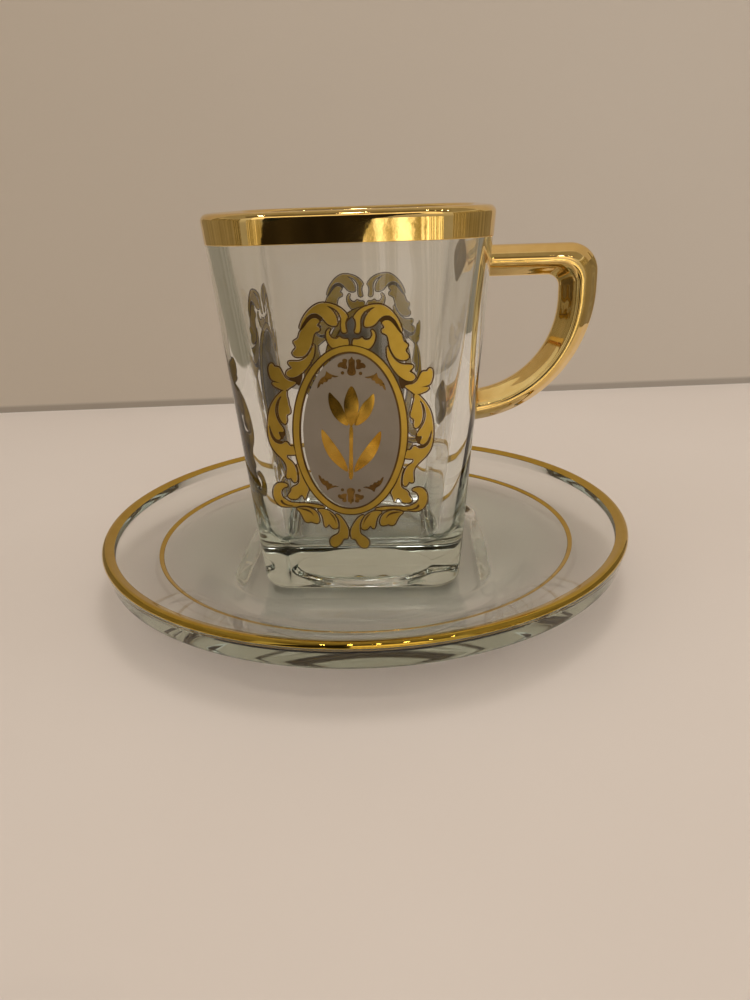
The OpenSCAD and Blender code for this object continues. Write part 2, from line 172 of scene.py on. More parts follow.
# Painted shade: a dark strip along the panel's foot, the shadow in the gap between the panel and the board
GAP_SHADE_LOW, GAP_SHADE_HIGH, GAP_SHADE_LEFT, GAP_SHADE_TONE = 0.0022, 0.0034, 0.62, (0.03, 0.024, 0.018, 1)
panel = flat_sheet("panel", (-0.9, 0.1007, 0.0), (1.8, 0.1413, 0), (0, 0, 0.6))
paint, wire = new_finish("panel_paint")
place = wire.add("ShaderNodeTexCoord", out="Object")
cloud = wire.add("ShaderNodeTexNoise", {}, {"Vector": place, "Scale": 4.0, "Detail": 2.0})
height = wire.add("ShaderNodeSeparateXYZ", {}, {"Vector": place}, "Z")
across = wire.add("ShaderNodeSeparateXYZ", {}, {"Vector": place}, "X")
# Painted shade: the panel's colour turns dark below a small height, as the shadow in the gap at its foot
gap_shade = wire.add("ShaderNodeMapRange", {}, {
    "Value": height, "From Min": GAP_SHADE_LOW, "From Max": GAP_SHADE_HIGH, "To Min": GAP_SHADE_LEFT, "To Max": 1.0})
# Painted light: the panel is painted paler towards the right, over a random cloud
tone = wire.add("ShaderNodeValToRGB", {"stops": [(0.2, PANEL_DARK), (0.8, PANEL_PALE)]}, {
    "Fac": cloud * PANEL_CLOUD + across * PANEL_FADE + PANEL_MIDDLE})
tone = wire.add("ShaderNodeMix", {"data_type": "RGBA", "blend_type": "MIX"}, {
    "Factor": gap_shade, 6: GAP_SHADE_TONE, 7: tone}, 2)
front = wire.add("ShaderNodeBsdfPrincipled", {}, {"Base Color": tone, "Roughness": 0.6}, "BSDF")
clear = wire.add("ShaderNodeBsdfTransparent")
back = wire.add("ShaderNodeNewGeometry", out="Backfacing")
seen = wire.add("ShaderNodeMixShader", {}, {0: back, 1: front, 2: clear})
wire.add("ShaderNodeOutputMaterial", {}, {"Surface": seen})
panel.data.materials.append(paint)

# The light: one wide soft lamp overhead, a row of small ones for the sparks, and a dim surround.
# Cards in front, at both sides and above give the gold and the glass dark and bright things to mirror.
SKY_POWER, SKY_FILL = 1.1, 0.27
world = bpy.data.worlds.new("surround")
scene.world = world
world.use_nodes = True
world.node_tree.nodes.clear()
wire = Wire(world.node_tree)
way = wire.add("ShaderNodeTexCoord", out="Generated")
rise = wire.add("ShaderNodeSeparateXYZ", {}, {"Vector": way}, "Z")
tone = wire.add("ShaderNodeValToRGB", {"stops": [
    (0.0, (0.26, 0.24, 0.21, 1)), (0.44, (0.32, 0.295, 0.26, 1)), (0.52, (0.43, 0.395, 0.35, 1)),
    (1.0, (0.74, 0.70, 0.65, 1))]}, {"Fac": rise * 0.5 + 0.5})
bounce = wire.add("ShaderNodeLightPath", out="Diffuse Depth")
power = wire.math("MINIMUM", bounce, 1.0) * SKY_FILL + SKY_POWER
sky = wire.add("ShaderNodeBackground", {}, {"Color": tone, "Strength": power})
wire.add("ShaderNodeOutputWorld", {}, {"Surface": sky})


def soft_lamp(name, place, aim, wide, deep, power, colour):
    bpy.ops.object.light_add(type="AREA", location=place)
    lamp = bpy.context.object
    lamp.name = name
    lamp.data.shape = "RECTANGLE"
    lamp.data.size = wide
    lamp.data.size_y = deep
    lamp.data.energy = power
    lamp.data.color = colour
    lamp.rotation_euler = (Vector(aim) - Vector(place)).to_track_quat("-Z", "Y").to_euler()
    lamp.visible_camera = False
    return lamp


ceiling_lamp = soft_lamp("ceiling_lamp", place=(0.10, 0.0, 0.9), aim=(0, 0, 0), wide=0.36, deep=0.24,
                         power=1.75, colour=(1.0, 0.96, 0.91))
ceiling_lamp.visible_glossy = False
SPARKS, SPARK_LEFT, SPARK_STEP, SPARK_SIZE, SPARK_POWER = 6, -0.25, 0.17, 0.03, 0.22
for k in range(SPARKS):
    soft_lamp("spark_lamp", (SPARK_LEFT + SPARK_STEP * k, -0.55, 1.1), (0, 0, 0.04),
              SPARK_SIZE, SPARK_SIZE, SPARK_POWER, (1.0, 0.95, 0.88))


def mirror_card(name, corner, along, up, stops):
    """A card of the stage that only mirrors show. Its colours run in uneven upright stripes."""
    card = flat_sheet(name, corner, along, up)
    finish, wire = new_finish(name)
    place = wire.add("ShaderNodeTexCoord", out="Object")
    across = wire.add("ShaderNodeSeparateXYZ", {}, {"Vector": place}, "X")
    along_y = wire.add("ShaderNodeSeparateXYZ", {}, {"Vector": place}, "Y")
    stripe = wire.add("ShaderNodeTexNoise", {"noise_dimensions": "1D"}, {
        "W": across + along_y, "Scale": 70.0, "Detail": 2.0})
    tone = wire.add("ShaderNodeValToRGB", {"stops": stops}, {"Fac": stripe})
    light = wire.add("ShaderNodeEmission", {}, {"Color": tone, "Strength": 1.0})
    wire.add("ShaderNodeOutputMaterial", {}, {"Surface": light})
    card.data.materials.append(finish)
    card.visible_camera = card.visible_diffuse = card.visible_shadow = card.visible_transmission = False
    return card


mirror_card("dark_card", (-0.115, -0.55, -0.40), (0.085, 0, 0), (0, 0, 0.75), [
    (0.3, (0.008, 0.010, 0.008, 1)), (0.7, (0.030, 0.026, 0.016, 1))])
mirror_card("pale_card", (-0.030, -0.54, -0.40), (0.30, 0, 0), (0, 0, 0.42), [
    (0.40, (0.38, 0.31, 0.13, 1)), (0.45, (0.75, 0.62, 0.34, 1)), (0.49, (1.80, 1.55, 1.20, 1)),
    (0.52, (0.90, 0.76, 0.42, 1)), (0.56, (0.42, 0.36, 0.16, 1)), (0.60, (2.20, 1.95, 1.60, 1))])
mirror_card("flag_card", (-0.055, -0.11, 0.0), (0.031, 0, 0), (0.046, 0, 0.12), [
    (0.3, (0.012, 0.009, 0.006, 1)), (0.7, (0.030, 0.022, 0.012, 1))])
mirror_card("window_card", (-0.35, -0.90, 0.28), (0.80, 0, 0), (0, 0, 0.56), [
    (0.4, (1.00, 0.83, 0.60, 1)), (0.6, (1.55, 1.32, 1.05, 1))])
mirror_card("lintel_card", (-0.60, -0.90, 0.84), (1.30, 0, 0), (0, 0.50, 0.46), [
    (0.4, (0.12, 0.095, 0.06, 1)), (0.6, (0.20, 0.165, 0.11, 1))])
mirror_card("side_card", (-0.30, -0.55, -0.40), (0.18, 0, 0), (0, 0, 0.60), [
    (0.40, (0.10, 0.08, 0.04, 1)), (0.46, (0.55, 0.45, 0.26, 1)),
    (0.52, (0.24, 0.19, 0.09, 1)), (0.60, (0.95, 0.80, 0.54, 1))])
mirror_card("left_card", (-0.50, -0.60, -0.30), (0, 0.85, 0), (0, 0, 0.75), [
    (0.36, (0.015, 0.010, 0.006, 1)), (0.45, (0.30, 0.235, 0.13, 1)),
    (0.52, (0.08, 0.06, 0.03, 1)), (0.64, (0.50, 0.41, 0.26, 1))])
mirror_card("right_card", (0.55, -0.60, -0.30), (0, 0.85, 0), (0, 0, 0.75), [
    (0.36, (0.04, 0.03, 0.015, 1)), (0.45, (0.42, 0.34, 0.20, 1)),
    (0.52, (0.15, 0.115, 0.06, 1)), (0.64, (0.70, 0.58, 0.40, 1))])
low_card = mirror_card("low_card", (-0.17, -0.14, 0.0), (0, 0.28, 0), (0, 0, 0.13), [
    (0.4, (0.20, 0.165, 0.11, 1)), (0.6, (0.27, 0.225, 0.16, 1))])
low_card.visible_transmission = True
low_right_card = mirror_card("low_right_card", (0.19, -0.10, 0.0), (0, 0.24, 0), (0, 0, 0.13), [
    (0.4, (0.18, 0.15, 0.105, 1)), (0.6, (0.27, 0.225, 0.16, 1))])
low_right_card.visible_transmission = True
mirror_card("ceiling_card", (-1.5, -1.5, 1.3), (3, 0, 0), (0, 3, 0), [
    (0.4, (0.26, 0.23, 0.18, 1)), (0.6, (0.34, 0.30, 0.24, 1))])

# The saucer: one piece of clear soda glass, pressed in a mould and fire polished.
# A square well holds the cup, the flange rises to a thick rim, and the flat sole runs into it in a soft bend.
MM = 0.001


def drawn_out(name, rings, closed=False):
    """Draws a circle of points out ring by ring, and closes both ends, or the last ring onto the first."""
    bpy.ops.object.select_all(action="DESELECT")
    count = len(rings[0])
    bpy.ops.mesh.primitive_circle_add(vertices=count, radius=0.02, fill_type="NOTHING" if closed else "NGON")
    piece = bpy.context.object
    piece.name = piece.data.name = name
    bpy.ops.object.mode_set(mode="EDIT")
    bpy.ops.mesh.select_mode(type="EDGE")
    bpy.ops.mesh.select_all(action="SELECT")
    mesh = bmesh.from_edit_mesh(piece.data)
    mesh.verts.ensure_lookup_table()
    number = {vertex: k for k, vertex in enumerate(mesh.verts)}
    for vertex, k in number.items():
        vertex.co = Vector(rings[0][k]) * MM
    for ring in rings[1:]:
        bpy.ops.mesh.extrude_edges_move()
        fresh = {}
        for vertex in mesh.verts:
            if vertex.select:
                others = [edge.other_vert(vertex) for edge in vertex.link_edges]
                fresh[vertex] = next(number[other] for other in others if other in number)
        for vertex, k in fresh.items():
            vertex.co = Vector(ring[k]) * MM
        number = fresh
    if not closed:
        bpy.ops.mesh.edge_face_add()
    bpy.ops.mesh.select_all(action="SELECT")
    bpy.ops.mesh.remove_doubles(threshold=1e-7)
    bpy.ops.mesh.normals_make_consistent(inside=False)
    bpy.ops.object.mode_set(mode="OBJECT")
    bpy.ops.object.shade_smooth()
    return piece


def square_loop(half, centre, z, flat=20, arc=20):
    """Points around a square with rounded corners, whose corner circles stand at a given centre."""
    loop = []
    bend = half - centre
    for k in range(4):
        c, s = math.cos(k * math.pi / 2), math.sin(k * math.pi / 2)
        part = [(half, centre * (2 * i / flat - 1)) for i in range(flat)]
        turns = [i * math.pi / 2 / arc for i in range(arc)]
        part += [(centre + bend * math.cos(a), centre + bend * math.sin(a)) for a in turns]
        loop += [(c * x - s * y, s * x + c * y, z) for x, y in part]
    return loop


def round_loop(like, radius, z, even=0.0):
    """Points around a circle that keep the directions of another loop, or share them out evenly."""
    loop = []
    count = len(like)
    first = math.atan2(like[0][1], like[0][0])
    for k, (x, y, _) in enumerate(like):
        own = (math.atan2(y, x) - first) % (2 * math.pi)
        angle = first + own + even * (2 * math.pi * k / count - own)
        loop.append((radius * math.cos(angle), radius * math.sin(angle), z))
    return loop


WELL_Z, FLOOR_Z, FLOOR_R, BEND, SLOPE, SOLE_BEND = 4.0, 6.2, 36.5, 21.9, math.radians(23), 42.0
FILM, THICK, EDGE, DRAFT = 0.15, 5.0, 0.9, 0.9
RIM_R = 60.0 - FILM - EDGE
BEND_X = FLOOR_R + BEND * math.sin(SLOPE)
BEND_Z = FLOOR_Z + BEND * (1 - math.cos(SLOPE))
RIM_Z = BEND_Z + (RIM_R - BEND_X) * math.tan(SLOPE) - EDGE / math.cos(SLOPE)
HEM_X = RIM_R - DRAFT
HEM_Z = RIM_Z - (THICK - 2 * EDGE) / math.cos(SLOPE) - DRAFT * math.tan(SLOPE)
LEAN = math.atan(DRAFT / (RIM_Z - HEM_Z))
UNDER_X, UNDER_Z = BEND_X + THICK * math.sin(SLOPE), BEND_Z - THICK * math.cos(SLOPE)
SOLE_R = UNDER_X - UNDER_Z / math.tan(SLOPE) - SOLE_BEND * math.tan(SLOPE / 2)


def flange(radius, up=0.0):
    """A point of the flange's upper face, lifted off it by a little."""
    return (radius - up * math.sin(SLOPE),
            BEND_Z + (radius - BEND_X) * math.tan(SLOPE) + up * math.cos(SLOPE))


def arc_points(x, z, radius, start, end, steps):
    angles = [start + (end - start) * k / steps for k in range(steps + 1)]
    return [(x + radius * math.cos(a), z + radius * math.sin(a)) for a in angles]


# The well: its bottom lies a little under the cup's foot, and its wall runs out in soft edges
WELL_DIP, WELL_SHARE, WELL_CORNER, WELL_FLAT, WELL_ARC = 0.05, 0.64, 16.5, 28, 14
well = [square_loop(half, half * WELL_SHARE, WELL_Z - WELL_DIP, WELL_FLAT, WELL_ARC)
        for half in (0.8, 8.0, 16.0, 22.0, 24.6)]
for half, z in ((25.0, 3.95), (25.5, 3.98), (25.9, 4.10), (26.3, 4.36), (26.7, 4.70), (27.0, 4.97),
                (27.6, 5.52), (27.9, 5.78), (28.2, 5.98), (28.5, 6.11), (28.8, 6.18), (29.1, FLOOR_Z)):
    well.append(square_loop(half, WELL_CORNER, z, WELL_FLAT, WELL_ARC))
compass = well[-1]
rings = well + [round_loop(compass, 36.15, FLOOR_Z, 0.1), round_loop(compass, 36.3, FLOOR_Z, 0.2)]
# The flange, the thick rim and the sole, from the floor outwards and back underneath
HEM_RISE, EVEN_FROM, EVEN_STEP = 0.6, 0.3, 0.07
quarter = math.pi / 2
profile = arc_points(FLOOR_R, FLOOR_Z + BEND, BEND, -quarter, SLOPE - quarter, 10)
profile += [flange(r) for r in (47.5, 49.5, 52.0, 54.5, 57.0, 58.2)]
profile += arc_points(RIM_R, RIM_Z, EDGE, SLOPE + quarter, -LEAN, 12)
profile += [(HEM_X + EDGE * math.cos(LEAN) + HEM_RISE * math.sin(LEAN),
             HEM_Z - EDGE * math.sin(LEAN) + HEM_RISE)]
profile += arc_points(HEM_X, HEM_Z, EDGE, -LEAN, SLOPE - quarter, 8)
profile += [flange(r, -THICK) for r in (56.0, 54.0, 51.0, 48.5, 46.5)]
profile += arc_points(SOLE_R, SOLE_BEND, SOLE_BEND, SLOPE - quarter, -quarter, 12)
profile += [(SOLE_R - 1, 0.0), (20.0, 0.0), (10.0, 0.0), (1.0, 0.0)]
for k, (r, z) in enumerate(profile):
    rings.append(round_loop(compass, r, z, min(1.0, EVEN_FROM + EVEN_STEP * k)))
saucer = drawn_out("pressed_saucer", rings)


def clear_glass(name, ripples, tint, depth_of_tint):
    """Pressed soda glass: faint ripples from the mould, a few smears, and a tint that deepens inside."""
    finish, wire = new_finish(name)
    place = wire.add("ShaderNodeTexCoord", out="Object")
    ripple = wire.add("ShaderNodeTexNoise", {}, {"Vector": place, "Scale": 55.0, "Detail": 1.0})
    wave = wire.add("ShaderNodeBump", {}, {
        "Strength": ripples, "Distance": 0.0004, "Height": ripple}, "Normal")
    smear = wire.add("ShaderNodeTexNoise", {}, {"Vector": place, "Scale": 140.0, "Detail": 4.0})
    haze = wire.add("ShaderNodeValToRGB", {"stops": [
        (0.45, (0.0, 0.0, 0.0, 1)), (0.8, (0.05, 0.05, 0.05, 1))]}, {"Fac": smear})
    melt = wire.add("ShaderNodeBsdfPrincipled", {}, {
        "Base Color": (0.98, 0.985, 0.98, 1), "Roughness": haze, "IOR": 1.5,
        "Transmission Weight": 1.0, "Normal": wave}, "BSDF")
    depth = wire.add("ShaderNodeVolumeAbsorption", {}, {"Color": tint, "Density": depth_of_tint}, "Volume")
    wire.add("ShaderNodeOutputMaterial", {}, {"Surface": melt, "Volume": depth})
    return finish


SAUCER_RIPPLES, SAUCER_TINT, SAUCER_DEPTH = 0.03, (0.77, 0.81, 0.755, 1), 26.0
saucer.data.materials.append(clear_glass("saucer_glass", SAUCER_RIPPLES, SAUCER_TINT, SAUCER_DEPTH))
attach(saucer, "saucer")
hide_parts("saucer_glass")

# The gilding of the saucer: liquid bright gold brushed over the rim and a fine line on the flange.
# It is fired on, so it lies in the skin of the glass with no thickness to speak of.
SKIN, BED, NEAR_BED = 0.12, -0.03, 0.02


def gilded_ring(name, outside, inside, node):
    """A closed ring of gold on the saucer. The faces on the glass get the second finish."""
    section = outside + inside[::-1]
    loops = [round_loop(compass, r, z, 1.0) for r, z in section + section[:1]]
    band = drawn_out(name, loops, closed=True)
    for face in band.data.polygons:
        corners = [band.data.vertices[k].co / MM for k in face.vertices]
        misses = [min(math.hypot(math.hypot(c.x, c.y) - r, c.z - z) for r, z in inside) for c in corners]
        face.material_index = int(max(misses) < NEAR_BED)
    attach(band, "saucer")
    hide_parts(node)
    return band


def lifted(points, up):
    return [flange(r, up) for r in points]


def over_edge(up):
    """Points over the upper edge of the rim, lifted off it by a little."""
    return [(RIM_R + (EDGE + up) * math.cos(a), RIM_Z + (EDGE + up) * math.sin(a)) for a in edge_top]


EDGE_STEPS, EDGE_END = 18, 16
edge_top = [SLOPE + quarter - (SLOPE + quarter + LEAN) * k / EDGE_STEPS for k in range(1, EDGE_END)]
rim_steps = (57.3, 57.45, 57.85, 58.4)
rim_band = gilded_ring("saucer_rim_gilding", lifted(rim_steps, SKIN) + over_edge(SKIN),
                       lifted(rim_steps, BED) + over_edge(BED), "saucer_rim_gold")
line_steps = (47.1, 47.35, 47.85, 48.1)
fine_line = gilded_ring("saucer_line_gilding", lifted(line_steps, SKIN), lifted(line_steps, BED),
                        "saucer_gold_line")


def fired_gold(name, thin, thick):
    """Bright gold that was brushed on and fired: a mirror with faint brush marks and a little wear."""
    finish, wire = new_finish(name)
    place = wire.add("ShaderNodeTexCoord", out="Object")
    brush = wire.add("ShaderNodeTexNoise", {}, {"Vector": place, "Scale": 260.0, "Detail": 3.0})
    tone = wire.add("ShaderNodeValToRGB", {"stops": [(0.3, thin), (0.7, thick)]}, {"Fac": brush})
    worn = wire.add("ShaderNodeTexNoise", {}, {"Vector": place, "Scale": 900.0, "Detail": 5.0})
    wave = wire.add("ShaderNodeBump", {}, {"Strength": 0.06, "Distance": 0.0002, "Height": brush}, "Normal")
    foil = wire.add("ShaderNodeBsdfPrincipled", {}, {
        "Base Color": tone, "Metallic": 1.0, "Roughness": worn * 0.05 + 0.02, "Normal": wave}, "BSDF")
    wire.add("ShaderNodeOutputMaterial", {}, {"Surface": foil})
    return finish


def fired_skin(name, grain_size, grain_depth, thin_at, thin, thick, metal, dull, sway=0.0):
    """A fired skin of one colour that shifts with its grain. With a sway the grain also dulls it."""
    finish, wire = new_finish(name)
    place = wire.add("ShaderNodeTexCoord", out="Object")
    grain = wire.add("ShaderNodeTexNoise", {}, {"Vector": place, "Scale": grain_size, "Detail": grain_depth})
    tone = wire.add("ShaderNodeValToRGB", {"stops": [(thin_at, thin), (0.7, thick)]}, {"Fac": grain})
    skin = wire.add("ShaderNodeBsdfPrincipled", {}, {
        "Base Color": tone, "Metallic": metal, "Roughness": grain * sway + dull if sway else dull}, "BSDF")
    wire.add("ShaderNodeOutputMaterial", {}, {"Surface": skin})
    return finish


rim_gold = fired_gold("rim_gold", (0.57, 0.37, 0.055, 1), (0.62, 0.42, 0.075, 1))
bright_gold = fired_gold("bright_gold", (0.83, 0.575, 0.20, 1), (0.91, 0.66, 0.27, 1))
gold_underside = fired_skin(
    "gold_underside", grain_size=300.0, grain_depth=2.0, thin_at=0.35,
    thin=(0.38, 0.25, 0.115, 1), thick=(0.45, 0.305, 0.15, 1), metal=0.0, dull=0.5)
for band in (rim_band, fine_line):
    band.data.materials.append(rim_gold)
    band.data.materials.append(gold_underside)

# The cup: a square tapered body of the same glass with a heavy base and a shallow round hollow beneath.
# Its corners are rounded, and the lip is fire polished to a full round.
CUP_Z, CUP_H, BASE_HALF, LIP_HALF, CORNER = 4.0, 77.7, 21.4, 28.05, 15.1
BASE_T, INNER_LIP, INNER_FOOT, INNER_CORNER = 9.3, 25.75, 18.0, 12.6
TAPER = (LIP_HALF - BASE_HALF) / CUP_H
FOOT_ROUND, LIP_ROUND, FILLET = 1.9, 1.15, 4.0


def half_width(z):
    return BASE_HALF + TAPER * z


def inner_half(z):
    return INNER_FOOT + (INNER_LIP - INNER_FOOT) * (z - BASE_T) / (CUP_H - BASE_T)


def lip_arc(grow, angle):
    """A point on the round lip: half width, corner centre and height, from outside over the top."""
    share = angle / math.pi
    middle = (half_width(CUP_H - LIP_ROUND) + inner_half(CUP_H - LIP_ROUND)) / 2
    return (middle + (LIP_ROUND + grow) * math.cos(angle), CORNER + (INNER_CORNER - CORNER) * share,
            CUP_H - LIP_ROUND + (LIP_ROUND + grow) * math.sin(angle))


HOLLOW, FOOT_FLAT, LIP_STEPS, LEAST_BEND, FLOOR_SHARE = 1.1, 0.3, 14, 1.0, 0.9
lip_angles = [math.pi * k / LIP_STEPS for k in range(LIP_STEPS + 1)]
start = square_loop(BASE_HALF - FOOT_ROUND, CORNER, 0)
# The hollow underneath and its soft edge
rings = [round_loop(start, r, HOLLOW) for r in (0.8, 4.0, 8.0, 12.0, 14.8)]
for r, z in ((15.3, 1.08), (15.6, 0.98), (15.85, 0.75), (16.1, 0.42), (16.3, 0.18), (16.55, 0.04),
             (16.9, 0.0)):
    rings.append(round_loop(start, r, z))
# The foot, the outside of the wall and the lip
rings += [square_loop(BASE_HALF - FOOT_ROUND - FOOT_FLAT, CORNER, 0)]
for x, z in arc_points(BASE_HALF - FOOT_ROUND, FOOT_ROUND, FOOT_ROUND, -quarter, 0, 8):
    rings.append(square_loop(x + TAPER * z, CORNER, z))
for z in (2.3, 3.0, 6, 10, 15, 20, 26, 32, 38, 44, 50, 56, 62, 67, 71, 74, 75.2, 76.1):
    rings.append(square_loop(half_width(z), CORNER, z))
for angle in lip_angles:
    rings.append(square_loop(*lip_arc(0, angle)))
# The inside of the wall and the floor
for z in (76.1, 75.2, 74, 70, 65, 60, 54, 48, 42, 36, 30, 25, 20, 16, 14.2, 13.7):
    rings.append(square_loop(inner_half(z), INNER_CORNER, z))
for x, z in arc_points(INNER_FOOT - FILLET, BASE_T + FILLET, FILLET, 0, -quarter, 10):
    half = x + (inner_half(z) - INNER_FOOT)
    rings.append(square_loop(half, min(INNER_CORNER, half - LEAST_BEND), z))
for half in (13.2, 10.0, 5.0, 0.8):
    rings.append(square_loop(half, half * FLOOR_SHARE, BASE_T))
cup = drawn_out("pressed_cup", [[(x, y, z + CUP_Z) for x, y, z in ring] for ring in rings])
CUP_RIPPLES, CUP_TINT, CUP_DEPTH = 0.25, (0.77, 0.83, 0.765, 1), 32.0
cup.data.materials.append(clear_glass("cup_glass", CUP_RIPPLES, CUP_TINT, CUP_DEPTH))
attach(cup, "cup")
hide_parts("cup_glass")

# The gold band around the lip: bright gold fired on the outside, over the round and just inside it.
# It was brushed on by hand and fired, so it is a mirror with no thickness to speak of.
BAND, BAND_EDGE, BAND_STEP, BAND_IN = 5.5, 0.15, 1.5, 76.2
low = CUP_H - BAND
outer = [(half_width(z), CORNER, z) for z in (low, low + BAND_EDGE, low + BAND_STEP, 75.2, 76.1)]
band_section = [(half + SKIN, centre, z) for half, centre, z in outer]
band_section += [lip_arc(SKIN, angle) for angle in lip_angles]
band_section += [(inner_half(BAND_IN) - up, INNER_CORNER, BAND_IN) for up in (SKIN, BED)]
band_section += [lip_arc(BED, angle) for angle in lip_angles[::-1]]
band_section += [(half + BED, centre, z) for half, centre, z in outer[::-1]]
band_section += band_section[:1]
band_loops = [square_loop(half, centre, z + CUP_Z) for half, centre, z in band_section]
lip_band = drawn_out("lip_gilding", band_loops, closed=True)
lip_band.data.materials.append(bright_gold)
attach(lip_band, "cup")
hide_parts("cup_rim_gold")

# The handle: a solid bow of glass fused to the right wall and gilded all over with bright gold.
# It has a straight bar, a square shoulder and a round bow, with a soft ridge all along it.
# It flares where it joins the wall.
HANDLE_X, HANDLE_TOP, BAR, BOW, ARM, HANDLE_T = 50.9, 69.6, 6.4, 7.9, 6.9, 10.0
BOW_R, GAP_R, SHOULDER, CROOK, FLARE = 28.8, 19.5, 6.0, 2.5, 1.5
BOW_DROP, ARM_REACH, LOW_DROP, BAR_START, ROOT, FLARE_CURVE = 8.8, 1.2, 0.3, 3, -0.05, 2.2
RIDGE_STEPS, FLARE_STEPS, BAR_STEPS, BEND_STEPS, BOW_STEPS = 14, 6, 8, 14, 34
# Half section from the outer edge over the ridge to the inner edge, in shares of half its width and depth
outer_flank, crest, inner_flank = (0.60, 0.68), (0.08, 1.32), (-0.50, 0.68)
front_half = [(1.0, 0.0), (1.0, 0.08), (0.99, 0.16), (0.965, 0.24), (0.925, 0.31), (0.84, 0.40),
              (0.72, 0.535)]
for k in range(RIDGE_STEPS + 1):
    t = k / RIDGE_STEPS
    front_half.append(tuple((1 - t) ** 2 * a + 2 * t * (1 - t) * b + t * t * c
                            for a, b, c in zip(outer_flank, crest, inner_flank)))
front_half += [(-0.62, 0.55), (-0.75, 0.41), (-0.88, 0.28), (-0.95, 0.20), (-0.985, 0.13), (-1.0, 0.06)]
section = front_half + [(-1.0, 0.0)] + [(c, -s) for c, s in front_half[:0:-1]]
GAP_X = HANDLE_X - BOW
BOW_Z = HANDLE_TOP - BOW_DROP
GAP_Z = BOW_Z - BOW_R + GAP_R + ARM
ARM_X = half_width(BOW_Z - BOW_R + ARM) + FLARE + ARM_REACH
BOW_END = math.acos((ARM_X - HANDLE_X + BOW_R) / BOW_R)
GAP_END = math.acos((ARM_X - GAP_X + GAP_R) / GAP_R)


def handle_loop(outside, inside):
    """The section of the handle between a point on its outer line and one on its inner line."""
    loop = []
    for c, s in section:
        loop.append(((outside[0] + inside[0]) / 2 + (outside[0] - inside[0]) / 2 * c, s * HANDLE_T / 2,
                     (outside[1] + inside[1]) / 2 + (outside[1] - inside[1]) / 2 * c))
    return loop


def wall_loop(z, half, off, grow):
    """The section of the handle in the slope of the wall, off it by a little and grown for the flare."""
    loop = []
    for c, s in section:
        height = z + (half + math.copysign(grow, half)) * c
        loop.append((half_width(height) + off, s * (HANDLE_T / 2 + grow), height))
    return loop


flare_shares = [k / FLARE_STEPS for k in range(FLARE_STEPS + 1)]
flare_steps = [(FLARE * t, FLARE * (1 - t) ** FLARE_CURVE) for t in flare_shares]
outer_bow = arc_points(HANDLE_X - BOW_R, BOW_Z, BOW_R, 0, -BOW_END, BOW_STEPS)
inner_bow = arc_points(GAP_X - GAP_R, GAP_Z, GAP_R, 0, -GAP_END, BOW_STEPS)
top_middle = HANDLE_TOP - BAR / 2
low_out, low_in = outer_bow[-1][1], inner_bow[-1][1]
low_middle, low_half = (low_out + low_in) / 2 - LOW_DROP, (low_out - low_in) / 2
rings = [wall_loop(top_middle, BAR / 2, ROOT, FLARE)]
rings += [wall_loop(top_middle, BAR / 2, off, grow) for off, grow in flare_steps]
bar_from = half_width(HANDLE_TOP) + BAR_START
for k in range(BAR_STEPS):
    t = k / BAR_STEPS
    rings.append(handle_loop((bar_from + t * (HANDLE_X - SHOULDER - bar_from), HANDLE_TOP),
                             (bar_from + t * (GAP_X - CROOK - bar_from), HANDLE_TOP - BAR)))
outer_bend = arc_points(HANDLE_X - SHOULDER, HANDLE_TOP - SHOULDER, SHOULDER, quarter, 0, BEND_STEPS)
inner_bend = arc_points(GAP_X - CROOK, HANDLE_TOP - BAR - CROOK, CROOK, quarter, 0, BEND_STEPS)
rings += [handle_loop(o, i) for o, i in zip(outer_bend, inner_bend)]
rings += [handle_loop(o, i) for o, i in zip(outer_bow, inner_bow)]
rings += [wall_loop(low_middle, low_half, off, grow) for off, grow in flare_steps[::-1]]
rings += [wall_loop(low_middle, low_half, ROOT, FLARE)]
fused_root = fired_skin(
    "fused_root", grain_size=220.0, grain_depth=2.0, thin_at=0.35,
    thin=(0.30, 0.18, 0.06, 1), thick=(0.42, 0.26, 0.10, 1), metal=0.2, dull=0.4)
handle = drawn_out("gilded_handle", [[(x, y, z + CUP_Z) for x, y, z in ring] for ring in rings])
handle.data.materials.append(bright_gold)
handle.data.materials.append(fused_root)
for face in handle.data.polygons:
    face.material_index = int(len(face.vertices) == len(section))
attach(handle, "cup")
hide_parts("cup_handle")

